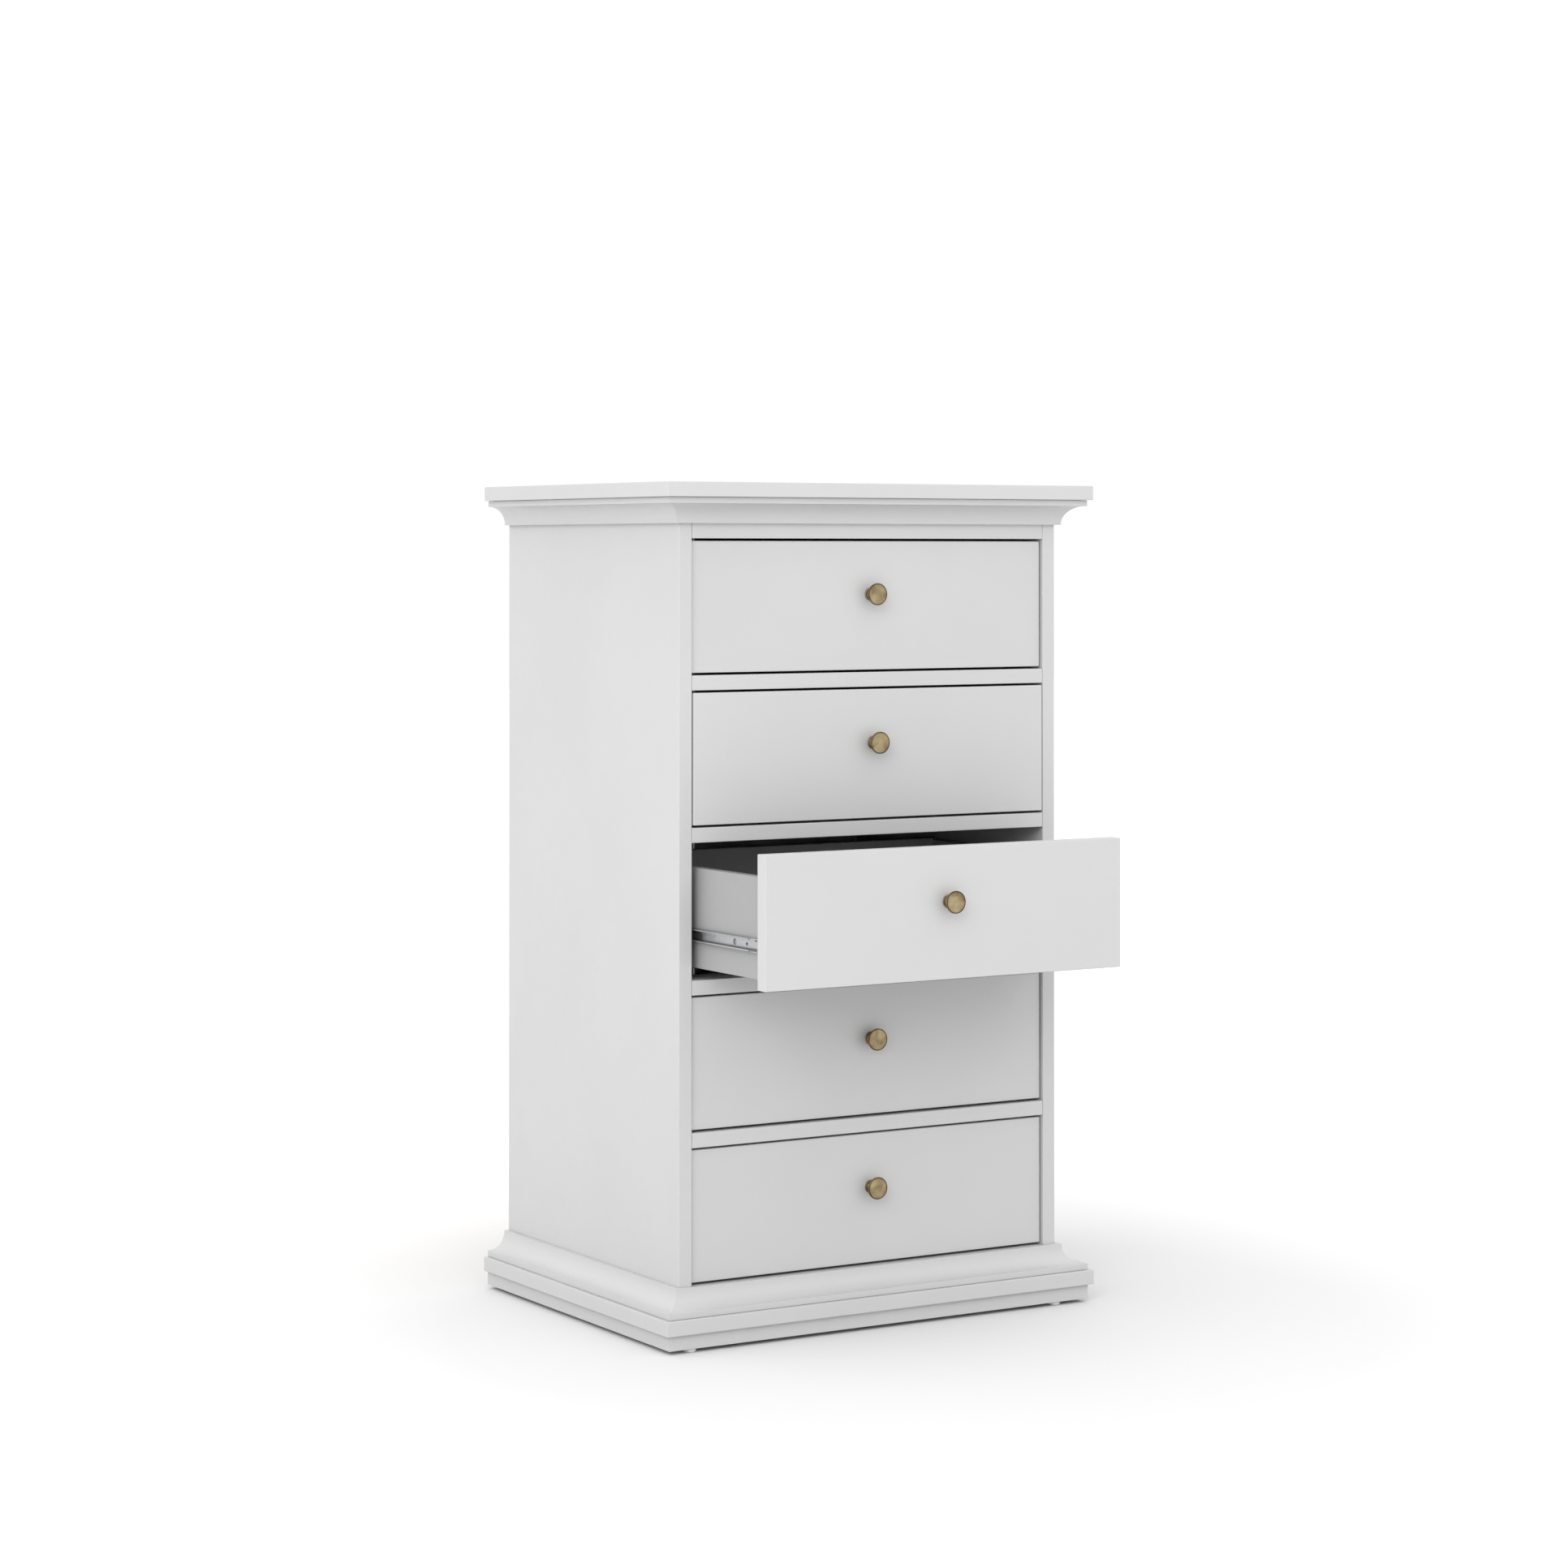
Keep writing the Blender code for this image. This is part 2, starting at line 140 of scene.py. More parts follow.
class Finish:
    """A Principled material, built up one node at a time."""

    def __init__(self, name, sockets):
        self.material = bpy.data.materials.new(name)
        self.material.use_nodes = True
        self.tree = self.material.node_tree
        self.shader = self.tree.nodes["Principled BSDF"]
        for socket, value in sockets.items():
            self.shader.inputs[socket].default_value = value

    def node(self, kind, **settings):
        """A new shader node of a kind, with its settings."""
        made = self.tree.nodes.new("ShaderNode" + kind)
        for setting, value in settings.items():
            setattr(made, setting, value)
        return made

    def link(self, source, target):
        """Join an output to an input."""
        self.tree.links.new(source, target)

    def place(self, stretch=(1, 1, 1)):
        """Coordinates fixed to the piece, squeezed along each axis."""
        where = self.node("TexCoord")
        mapping = self.node("Mapping")
        mapping.inputs["Scale"].default_value = stretch
        self.link(where.outputs["Object"], mapping.inputs["Vector"])
        return mapping.outputs["Vector"]

    def noise(self, scale, detail=3.0, stretch=(1, 1, 1), warp=0.0):
        """A noise factor fixed to the piece."""
        made = self.node("TexNoise")
        made.inputs["Scale"].default_value = scale
        made.inputs["Detail"].default_value = detail
        made.inputs["Distortion"].default_value = warp
        self.link(self.place(stretch), made.inputs["Vector"])
        return made.outputs["Fac"]

    def spread(self, factor, low, high, start=0.3, end=0.7):
        """A factor between start and end, spread out between low and high."""
        made = self.node("MapRange")
        for socket, value in zip(("From Min", "From Max", "To Min", "To Max"), (start, end, low, high)):
            made.inputs[socket].default_value = value
        self.link(factor, made.inputs["Value"])
        return made.outputs["Result"]

    def tones(self, factor, *stops):
        """Colour from a factor by (position, colour) stops."""
        ramp = self.node("ValToRGB")
        elements = ramp.color_ramp.elements
        while len(elements) < len(stops):
            elements.new(0.5)
        for element, (position, colour) in zip(elements, stops):
            element.position = position
            element.color = (*colour, 1.0)
        self.link(factor, ramp.inputs["Fac"])
        return ramp.outputs["Color"]

    def mix(self, factor, first, second):
        """The first colour where the factor is 0, the second where it is 1."""
        made = self.node("Mix", data_type="RGBA")
        self.link(factor, made.inputs[0])
        self.link(first, made.inputs[6])
        self.link(second, made.inputs[7])
        return made.outputs[2]

    def wire(self, socket, source):
        """Join an output to a socket of the shader."""
        self.link(source, self.shader.inputs[socket])

    def bump(self, height, strength, distance):
        """Relief from a height factor."""
        made = self.node("Bump")
        made.inputs["Strength"].default_value = strength
        made.inputs["Distance"].default_value = distance
        self.link(height, made.inputs["Height"])
        self.link(made.outputs["Normal"], self.shader.inputs["Normal"])


def grey(value):
    """A neutral colour."""
    return (value, value, value)


def greys(low, high):
    """Two stops of grey, the first for a factor of 0.3 and the second for 0.7."""
    return (0.3, grey(low)), (0.7, grey(high))


def make_foil(name, tone):
    """Satin foil: faint cloudiness, and the fine orange peel of a pressed surface."""
    finish = Finish(name, {"Specular IOR Level": 0.45})
    cloud = finish.noise(5.0, detail=4.0)
    finish.wire("Base Color", finish.tones(cloud, *greys(tone - 0.008, tone + 0.008)))
    patch = finish.noise(38.0, detail=5.0)
    finish.wire("Roughness", finish.spread(patch, 0.40, 0.50))
    finish.bump(finish.noise(900.0, detail=2.0), 0.05, 0.0002)
    return finish.material


def make_core():
    """Raw fibreboard where a strip or hole is cut: tan, with short darker fibres."""
    finish = Finish("fibreboard_core", {"Roughness": 0.85, "Specular IOR Level": 0.2})
    fibre = finish.noise(1500.0, detail=5.0, stretch=(1, 1, 0.4), warp=0.4)
    tan = finish.tones(fibre, (0.32, (0.27, 0.18, 0.10)), (0.50, (0.44, 0.31, 0.19)),
                       (0.70, (0.56, 0.43, 0.28)))
    finish.wire("Base Color", tan)
    finish.bump(fibre, 0.4, 0.0003)
    return finish.material


def make_print(name, tone):
    """The painted face of the hardboard: flatter than the foil, with a faint fibre showing."""
    finish = Finish(name, {"Specular IOR Level": 0.3})
    cloud = finish.noise(9.0, detail=5.0)
    finish.wire("Base Color", finish.tones(cloud, *greys(tone - 0.015, tone + 0.015)))
    finish.wire("Roughness", finish.spread(finish.noise(60.0), 0.52, 0.64))
    finish.bump(finish.noise(420.0, detail=4.0), 0.12, 0.0003)
    return finish.material


def make_raw_hardboard():
    """The unpainted face of the hardboard: brown, flecked and faintly clouded."""
    finish = Finish("hardboard_raw", {"Specular IOR Level": 0.35})
    fleck = finish.noise(620.0, detail=6.0, stretch=(1, 1, 0.35), warp=0.8)
    cloud = finish.noise(7.0, detail=5.0)
    fine = finish.tones(fleck, (0.34, (0.17, 0.105, 0.055)), (0.52, (0.30, 0.20, 0.115)),
                        (0.68, (0.40, 0.28, 0.17)))
    broad = finish.tones(cloud, (0.3, (0.25, 0.165, 0.095)), (0.7, (0.33, 0.23, 0.14)))
    finish.wire("Base Color", finish.mix(finish.spread(cloud, 0.35, 0.65), fine, broad))
    finish.wire("Roughness", finish.spread(fleck, 0.55, 0.75))
    finish.bump(fleck, 0.2, 0.0003)
    return finish.material


def make_fold_skin():
    """The paper skin left across the fold, thin enough for daylight to glow through."""
    finish = Finish("fold_skin", {
        "Roughness": 0.7, "Subsurface Weight": 1.0, "Subsurface Scale": 0.004})
    finish.shader.inputs["Subsurface Radius"].default_value = (1.0, 1.0, 1.0)
    finish.wire("Base Color", finish.tones(finish.noise(80.0), *greys(0.66, 0.74)))
    return finish.material


def make_brass():
    """Antique brass: soft mottling, brushed, dark where the patina stays in the hollows, and painted
    shade on the neck under the face.
    """
    finish = Finish("antique_brass", {"Metallic": 1.0})
    patch = finish.noise(80.0, detail=2.0, warp=0.3)
    base = finish.tones(patch, (0.32, (0.190, 0.140, 0.075)), (0.47, (0.285, 0.220, 0.122)),
                        (0.66, (0.390, 0.320, 0.180)))
    stroke = finish.noise(1500.0, detail=4.0, stretch=(1, 1, 0.12))
    worn = finish.tones(stroke, (0.4, (0.245, 0.188, 0.100)), (0.6, (0.360, 0.290, 0.165)))
    brushed = finish.mix(finish.spread(stroke, 0.0, 0.30), base, worn)
    # the mesh attribute holds patina in the grooves and painted shade on the neck under the face
    patina_and_shade = finish.node("Attribute", attribute_name="patina_and_shade")
    dark = finish.tones(patch, (0.4, (0.050, 0.031, 0.016)), (0.6, (0.090, 0.060, 0.032)))
    finish.wire("Base Color", finish.mix(patina_and_shade.outputs["Fac"], brushed, dark))
    finish.wire("Roughness", finish.spread(stroke, 0.28, 0.42))
    finish.bump(stroke, 0.12, 0.0002)
    return finish.material


def make_zinc():
    """Zinc-plated steel, drawn lengthways, with the plating's faint bloom."""
    finish = Finish("zinc_steel", {"Metallic": 1.0})
    drawn = finish.noise(900.0, detail=4.0, stretch=(1, 0.02, 1))
    bloom = finish.noise(160.0, detail=4.0)
    steel = finish.tones(bloom, (0.3, (0.40, 0.405, 0.415)), (0.7, (0.47, 0.475, 0.485)))
    finish.wire("Base Color", steel)
    finish.wire("Roughness", finish.spread(bloom, 0.28, 0.38))
    finish.bump(drawn, 0.04, 0.0002)
    return finish.material


def make_ball_steel():
    """Polished bearing steel under a thin film of grease."""
    finish = Finish("ball_steel", {"Metallic": 1.0})
    film = finish.noise(700.0, detail=3.0)
    finish.wire("Base Color", finish.tones(film, *greys(0.50, 0.64)))
    finish.wire("Roughness", finish.spread(film, 0.10, 0.22))
    return finish.material


def make_cast_zinc():
    """Die-cast zinc of the cam locks: grey, slightly rough, darker in the pores."""
    finish = Finish("cast_zinc", {"Metallic": 1.0})
    pore = finish.noise(1800.0, detail=4.0)
    finish.wire("Base Color", finish.tones(pore, (0.35, (0.36, 0.37, 0.38)), (0.6, (0.55, 0.56, 0.57))))
    finish.wire("Roughness", finish.spread(pore, 0.42, 0.60))
    finish.bump(pore, 0.25, 0.0002)
    return finish.material


def make_glide_plastic():
    """Pale moulded plastic with a fine matt grain."""
    finish = Finish("glide_plastic", {"Specular IOR Level": 0.4})
    cloud = finish.noise(60.0)
    finish.wire("Base Color", finish.tones(cloud, *greys(0.58, 0.64)))
    grain = finish.noise(2600.0, detail=2.0)
    finish.wire("Roughness", finish.spread(grain, 0.45, 0.60))
    finish.bump(grain, 0.2, 0.0001)
    return finish.material


FOIL = make_foil("white_foil", 0.468)
BOX_FOIL = make_foil("grey_foil", 0.29)
BOX_EDGE = make_foil("grey_edge", 0.17)
CORE = make_core()
PRINT = make_print("white_print", 0.44)
BOX_PRINT = make_print("grey_print", 0.26)
RAW_HARDBOARD = make_raw_hardboard()
FOLD = make_fold_skin()
BRASS = make_brass()
ZINC = make_zinc()
BALL_STEEL = make_ball_steel()
CAST_ZINC = make_cast_zinc()
GLIDE_PLASTIC = make_glide_plastic()


# ---------------------------------------------------------------- outlines and meshes

def rounded(corners, steps=CORNER_STEPS):
    """Closed outline from (u, v, radius) corners; each radius above zero becomes an arc."""
    points = []
    for index, (u, v, radius) in enumerate(corners):
        if not radius:
            points.append((u, v))
            continue
        here = Vector((u, v))
        before = (Vector(corners[index - 1][:2]) - here).normalized()
        after = (Vector(corners[(index + 1) % len(corners)][:2]) - here).normalized()
        half = before.angle(after) / 2
        centre = here + (before + after).normalized() * (radius / math.sin(half))
        reach = radius / math.tan(half)
        start = here + before * reach - centre
        end = here + after * reach - centre
        first = math.atan2(start.y, start.x)
        turn = (math.atan2(end.y, end.x) - first + math.pi) % math.tau - math.pi
        for step in range(steps + 1):
            angle = first + turn * step / steps
            points.append((centre.x + radius * math.cos(angle), centre.y + radius * math.sin(angle)))
    return points


def curve_through(points, steps):
    """A smooth (Catmull-Rom) curve through a list of (u, v) points."""
    padded = [points[0], *points, points[-1]]
    made = []
    for a, b, c, d in zip(padded, padded[1:], padded[2:], padded[3:]):
        for step in range(steps):
            t = step / steps
            made.append(tuple(
                0.5 * (2 * b[i] + (c[i] - a[i]) * t + (2 * a[i] - 5 * b[i] + 4 * c[i] - d[i]) * t ** 2
                       + (3 * b[i] - a[i] - 3 * c[i] + d[i]) * t ** 3)
                for i in range(2)))
    return [*made, points[-1]]


def mesh_from(name, bm, *materials):
    """A mesh with its normals outwards, and its materials in order."""
    bmesh.ops.recalc_face_normals(bm, faces=bm.faces)
    mesh = bpy.data.meshes.new(name)
    bm.to_mesh(mesh)
    bm.free()
    for material in materials:
        mesh.materials.append(material)
    return mesh


def add_block(bm, low, high, radius=0.0, steps=CORNER_STEPS):
    """A block between two corners, its edges rounded."""
    made = bmesh.ops.create_cube(bm, size=1.0)["verts"]
    for vert in made:
        for axis in range(3):
            vert.co[axis] = high[axis] if vert.co[axis] > 0 else low[axis]
    if radius:
        edges = list({edge for vert in made for edge in vert.link_edges})
        bmesh.ops.bevel(bm, geom=edges, offset=radius, segments=steps, profile=0.5, affect="EDGES")


def add_sweep(bm, outline, stations, end_material=0):
    """Carry an outline of (offset, height) through stations (x, x_slope, y, y_slope) in plan."""
    rings = [[bm.verts.new((x + x_slope * p, y + y_slope * p, z)) for p, z in outline]
             for x, x_slope, y, y_slope in stations]
    for near, far in zip(rings, rings[1:]):
        for here in range(len(outline)):
            after = (here + 1) % len(outline)
            bm.faces.new((near[here], near[after], far[after], far[here]))
    for ring in (rings[0], rings[-1]):
        bm.faces.new(ring).material_index = end_material


def add_upright(bm, plan, low, high):
    """Raise a closed outline of (x, y) points from one height to another."""
    rings = [[bm.verts.new((x, y, z)) for x, y in plan] for z in (low, high)]
    for here in range(len(plan)):
        after = (here + 1) % len(plan)
        bm.faces.new((rings[0][here], rings[0][after], rings[1][after], rings[1][here]))
    for ring in rings:
        bm.faces.new(ring)


def add_turned(bm, profile, steps, matrix=Matrix()):
    """Turn (radius, height) points, on the axis at both ends, about the matrix's Z axis."""
    rings = []
    for radius, height in profile:
        count = steps if radius else 1
        spokes = [math.tau * turn / count for turn in range(count)]
        rings.append([bm.verts.new(matrix @ Vector((radius * math.cos(a), radius * math.sin(a), height)))
                      for a in spokes])
    for near, far in zip(rings, rings[1:]):
        for here in range(steps):
            after = (here + 1) % steps
            corners = [near[here % len(near)], near[after % len(near)],
                       far[after % len(far)], far[here % len(far)]]
            bm.faces.new(dict.fromkeys(corners))
    return rings


def cut(mesh, tool):
    """The mesh with a tool mesh taken out of it."""
    body = bpy.data.objects.new("body", mesh)
    cutter = bpy.data.objects.new("cutter", tool)
    for item in (body, cutter):
        bpy.context.collection.objects.link(item)
    modifier = body.modifiers.new("cut", "BOOLEAN")
    modifier.operation = "DIFFERENCE"
    modifier.solver = "EXACT"
    modifier.object = cutter
    depsgraph = bpy.context.evaluated_depsgraph_get()
    made = bpy.data.meshes.new_from_object(body.evaluated_get(depsgraph))
    for item in (body, cutter):
        bpy.data.objects.remove(item)
    return made


def mirrored(mesh):
    """A copy for the other side of the chest."""
    made = mesh.copy()
    made.transform(Matrix.Scale(-1, 4, (1, 0, 0)))
    made.flip_normals()
    return made


def turned_to(x, y, z):
    """The rotation that points a turned piece's axis along a direction."""
    return Vector((x, y, z)).to_track_quat("Z", "Y").to_matrix().to_4x4()


def add_piece(name, mesh, body, nodes=(), at=(0, 0, 0)):
    """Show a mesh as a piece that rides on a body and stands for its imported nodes."""
    piece = bpy.data.objects.new(name, mesh)
    bpy.context.collection.objects.link(piece)
    piece.location = at
    mesh.shade_smooth()
    mesh.set_sharp_from_angle(angle=SMOOTH_BELOW)
    even = piece.modifiers.new("even_shading", "WEIGHTED_NORMAL")
    even.keep_sharp = True
    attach(piece, body)
    if nodes:
        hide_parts(*nodes)
    return piece


def add_board(name, node, body, radius=EDGE):
    """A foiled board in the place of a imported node."""
    bm = bmesh.new()
    add_block(bm, *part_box(node), radius)
    return add_piece(name, mesh_from(name, bm, FOIL), body, [node])


# ---------------------------------------------------------------- carcass

def moulding_outline(strip, board_z, direction, projection):
    """Fillet, quirk, cove and lip, its height running from the board in the given direction."""
    low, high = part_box(strip)
    height = high.z - low.z + JOINT
    cove_top = projection - QUIRK
    corners = [(JOINT, JOINT, 0), (projection, JOINT, ARRIS), (projection, FILLET_HEIGHT, ARRIS),
               (cove_top, FILLET_HEIGHT, 0)]
    for step in range(1, COVE_STEPS + 1):
        angle = math.pi / 2 * step / COVE_STEPS
        offset = cove_top - COVE_RADIUS * math.sin(angle)
        away = FILLET_HEIGHT + COVE_RADIUS * (1 - math.cos(angle))
        corners.append((offset, away, 0))
    corners += [(cove_top - COVE_RADIUS, height, ARRIS), (JOINT, height, 0)]
    return [(offset, board_z + direction * away) for offset, away in rounded(corners)]


def build_moulding(prefix, node, board_z, direction):
    """A front strip and two side strips, mitred at the front corners and sawn off at the back."""
    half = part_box("side_panel_right")[1].x
    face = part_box("side_panel_right")[0].y
    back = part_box(node + "_left")[1].y
    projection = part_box(node + "_front")[1].x - half
    outline = moulding_outline(node + "_front", board_z, direction, projection)
    bm = bmesh.new()
    add_sweep(bm, outline, [(-half, -1, face, -1), (half, 1, face, -1)])
    name = prefix + "_front"
    add_piece(name, mesh_from(name, bm, FOIL), "carcass", [node + "_front"])
    for side, sign in (("left", -1), ("right", 1)):
        stations = [(sign * half, sign, back, 0), (sign * half, sign, face + MITRE_JOINT, -1)]
        bm = bmesh.new()
        add_sweep(bm, outline, stations, end_material=1)
        name = prefix + "_" + side
        add_piece(name, mesh_from(name, bm, FOIL, CORE), "carcass", [node + "_" + side])


def build_bottom_rail():
    """The upright rail below the last drawer, as long as the top rail, behind the base moulding."""
    strip_low, strip_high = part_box("base_moulding_front")
    low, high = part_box("top_rail")
    bm = bmesh.new()
    add_block(bm, (low.x, low.y, strip_low.z + JOINT), (high.x, high.y, strip_high.z - JOINT), EDGE)
    rail = mesh_from("bottom_rail_board", bm, FOIL)
    add_piece("bottom_rail_board", rail, "carcass", ["base_moulding_front"])


def build_sides():
    """Full-height sides, rebated for the back panel along the rear inner edge."""
    for side, sign in (("left", -1), ("right", 1)):
        node = "side_panel_" + side
        low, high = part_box(node)
        outer = abs(low.x) if side == "left" else high.x
        board = high.x - low.x
        corners = [(outer, low.y, EDGE), (outer - board, low.y, EDGE),
                   (outer - board, high.y - REBATE_DEPTH, 0),
                   (outer - board + REBATE_WIDTH, high.y - REBATE_DEPTH, 0),
                   (outer - board + REBATE_WIDTH, high.y, 0), (outer, high.y, EDGE)]
        bm = bmesh.new()
        add_upright(bm, [(sign * x, y) for x, y in rounded(corners)], low.z, high.z)
        name = "side_board_" + side
        add_piece(name, mesh_from(name, bm, FOIL), "carcass", [node])


def build_back():
    """One sheet, painted inside and brown outside, with a paper skin across its fold."""
    low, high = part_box("back_panel")
    leaves = (("back_leaf_left", low.x, -FOLD_WIDTH / 2), ("back_leaf_right", FOLD_WIDTH / 2, high.x))
    for name, left, right in leaves:
        bm = bmesh.new()
        add_block(bm, (left, low.y, low.z), (right, high.y, high.z))
        bmesh.ops.recalc_face_normals(bm, faces=bm.faces)
        for face in bm.faces:
            face.material_index = 0 if face.normal.y < -0.5 else 1
        add_piece(name, mesh_from(name, bm, PRINT, RAW_HARDBOARD), "carcass", ["back_panel"])
    bm = bmesh.new()
    add_block(bm, (-FOLD_WIDTH / 2, low.y, low.z), (FOLD_WIDTH / 2, low.y + FOLD_SKIN, high.z))
    skin = mesh_from("back_fold", bm, FOLD)
    add_piece("back_fold", skin, "carcass", ["back_panel"])
    build_nails(low, high)


def spaced(start, end, spacing):
    """Even places from one end to the other, about a spacing apart."""
    count = max(1, round((end - start) / spacing))
    return [start + (end - start) * step / count for step in range(count + 1)]


def build_nails(low, high):
    """Round-headed nails all round the back panel."""
    inset = REBATE_WIDTH / 2
    profile = [(0, NAIL_HEIGHT), *[(NAIL_RADIUS * math.sin(a), NAIL_HEIGHT * math.cos(a))
                                   for a in (0.4, 0.8, 1.2)], (NAIL_RADIUS, 0), (0, 0)]
    places = [(x, z) for x in (low.x + inset, high.x - inset)
              for z in spaced(low.z + NAIL_SPACING / 2, high.z - NAIL_SPACING / 2, NAIL_SPACING)]
    places += [(x, z) for z in (low.z + inset, high.z - inset)
               for x in spaced(low.x + NAIL_SPACING / 2, high.x - NAIL_SPACING / 2, NAIL_SPACING)]
    bm = bmesh.new()
    for x, z in places:
        add_turned(bm, profile, 16, Matrix.Translation((x, high.y, z)) @ turned_to(0, 1, 0))
    add_piece("back_nails", mesh_from("back_nails", bm, ZINC), "carcass")


def build_plinth():
    """Mitred front and sides, a back rail between them, and a glide under each corner."""
    low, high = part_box("plinth_left")
    outer = abs(low.x)
    board = high.x - low.x
    back = high.y
    top = high.z
    corners = [(0, low.z, ARRIS), (board, low.z, 0), (board, top, 0), (0, top, 0)]
    outline = rounded(corners)
    front_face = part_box("plinth_front")[0].y
    bm = bmesh.new()
    add_sweep(bm, outline, [(-outer, 1, front_face, 1), (outer, -1, front_face, 1)])
    add_piece("plinth_board_front", mesh_from("plinth_board_front", bm, FOIL), "carcass",
              ["plinth_front"])
    for side, sign in (("left", -1), ("right", 1)):
        bm = bmesh.new()
        stations = [(sign * outer, -sign, back, 0), (sign * outer, -sign, front_face + MITRE_JOINT, 1)]
        add_sweep(bm, outline, stations, end_material=1)
        name = "plinth_board_" + side
        add_piece(name, mesh_from(name, bm, FOIL, CORE), "carcass", ["plinth_" + side])
    rear_low, rear_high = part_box("plinth_back")
    bm = bmesh.new()
    add_block(bm, (rear_low.x, rear_low.y, low.z), (rear_high.x, rear_high.y, top), ARRIS)
    add_piece("plinth_board_back", mesh_from("plinth_board_back", bm, FOIL), "carcass",
              ["plinth_back"])
    for row, node, y in (("front", "plinth_front", front_face + GLIDE_FROM_FACE),
                         ("rear", "plinth_back", back - GLIDE_FROM_FACE)):
        for side, sign in (("left", -1), ("right", 1)):
            build_glide(f"glide_{row}_{side}", node, sign * (outer - GLIDE_FROM_END[side]), y)


def build_glide(name, node, x, y):
    """A domed plastic disc nailed up into the plinth."""
    radius, height = GLIDE_RADIUS, GLIDE_HEIGHT
    dish, dish_depth = GLIDE_DISH
    foot = curve_through([(radius - 0.0022, 0.0), (radius - 0.0008, 0.0005), (radius, 0.0018)], 5)
    profile = [(0, dish_depth), (dish, dish_depth), (dish + 0.0004, 0.0), *foot,
               (radius, height - ARRIS / 2), (radius - ARRIS, height), (0, height)]
    bm = bmesh.new()
    add_turned(bm, profile, 48, Matrix.Translation((x, y, 0)))
    add_piece(name, mesh_from(name, bm, GLIDE_PLASTIC), "carcass", [node])


def build_carcass():
    """Everything that stands still, apart from the cabinet members of the slides."""
    add_board("top_board", "top_panel", "carcass")
    add_board("base_plate", "base_board", "carcass")
    add_board("top_rail_board", "top_rail", "carcass")
    for number in range(1, 5):
        add_board(f"rail_board_{number}", f"rail_{number}", "carcass")
    build_sides()
    build_moulding("cornice_strip", "cornice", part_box("top_panel")[0].z, -1)
    build_moulding("base_strip", "base_moulding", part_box("base_board")[1].z, 1)
    build_bottom_rail()
    build_back()
    build_plinth()


# ---------------------------------------------------------------- drawers

def box_outline(height):
    """Section of a drawer board: eased top edge, and a groove for the bottom."""
    floor = BOX_BOARD - GROOVE_DEPTH
    groove_top = GROOVE_UP + BOTTOM_THICKNESS + 2 * JOINT
    corners = [(0, 0, ARRIS), (BOX_BOARD, 0, ARRIS),
               (BOX_BOARD, GROOVE_UP, 0), (floor, GROOVE_UP, 0),
               (floor, groove_top, 0), (BOX_BOARD, groove_top, 0),
               (BOX_BOARD, height, BOX_TOP_RADIUS), (0, height, BOX_TOP_RADIUS)]
    return rounded(corners, steps=5)


def box_board(outline, stations):
    """One board of the drawer box, with its top edge in a duller foil."""
    bm = bmesh.new()
    add_sweep(bm, outline, stations, end_material=1)
    bmesh.ops.recalc_face_normals(bm, faces=bm.faces)
    top = max(z for offset, z in outline)
    for face in bm.faces:
        if face.normal.z > 0.7 and face.calc_center_median().z > top - BOX_TOP_RADIUS:
            face.material_index = 2
    return mesh_from("box_board", bm, BOX_FOIL, CORE, BOX_EDGE)


def make_box():
    """Back and two lower sides mitred at the corners, drilled for the slides' screws and the cams."""
    low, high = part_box("drawer_1_box")
    half, depth, height = high.x, high.y - low.y, high.z - low.z
    side_stations = [(-half, 1, 0, 0), (-half, 1, depth - MITRE_JOINT, -1)]
    side = box_board(box_outline(height - SIDE_DROP), side_stations)
    back = box_board(box_outline(height), [(-half, 1, depth, -1), (half, -1, depth, -1)])
    side = cut(side, make_drills(half, low.z))
    bm = bmesh.new()
    for board in (side, mirrored(side), back):
        bm.from_mesh(board)
    return mesh_from("drawer_box", bm, BOX_FOIL, CORE, BOX_EDGE)


def make_drills(half, box_z):
    """Holes of the left side: the slide's pilot hole from outside, the cams' holes from inside; their
    walls are painted dark grey as shade.
    """
    runner_low, runner_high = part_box("drawer_1_runner_left")
    clear = 0.001
    drill = bmesh.new()
    along, radius = PILOT_HOLE
    outside = Matrix.Translation((-half - clear, along, (runner_low.z + runner_high.z) / 2 - box_z))
    bit = [(0, 0), (radius * 1.3, 0), (radius * 1.3, PILOT_DEPTH), (0, PILOT_DEPTH + clear)]
    add_turned(drill, bit, 24, outside @ turned_to(1, 0, 0))
    wide, deep = CAM_RADIUS + CAM_HOLE_PLAY, clear + CAM_DEPTH + 0.0005
    for up in CAM_HEIGHTS:
        inside = Matrix.Translation((BOX_BOARD - half + clear, CAM_FROM_FRONT, up))
        bit = [(0, 0), (wide, 0), (wide, deep), (0, deep)]
        add_turned(drill, bit, 48, inside @ turned_to(-1, 0, 0))
    # painted shade: the holes' walls take the dark grey edge foil, not the tan core
    for face in drill.faces:
        face.material_index = 2
    return mesh_from("drills", drill, BOX_FOIL, CORE, BOX_EDGE)


def make_cams():
    """Four cam locks let into the inner faces of the sides, which pull the front tight."""
    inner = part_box("drawer_1_box")[1].x - BOX_BOARD
    rim = curve_through([(CAM_RADIUS, CAM_PROUD * 0.4), (CAM_RADIUS - 0.0002, CAM_PROUD),
                         (CAM_RADIUS - 0.0008, CAM_PROUD)], 3)
    profile = [(0, -CAM_DEPTH), (CAM_RADIUS, -CAM_DEPTH), *rim,
               (0.0046, CAM_PROUD), (0.0043, CAM_FACE), (0, CAM_FACE)]
    bm = bmesh.new()
    add_turned(bm, profile, 48)
    cam = mesh_from("cam", bm, CAST_ZINC)
    cam = cross_cut(cam, CAM_FACE - 0.0025, CAM_FACE + 0.0025, 0.0034, 0.0007)
    places = [Matrix.Translation((sign * inner, CAM_FROM_FRONT, up)) @ turned_to(-sign, 0, 0)
              for sign in (-1, 1) for up in CAM_HEIGHTS]
    return joined("drawer_cams", cam, places, CAST_ZINC)


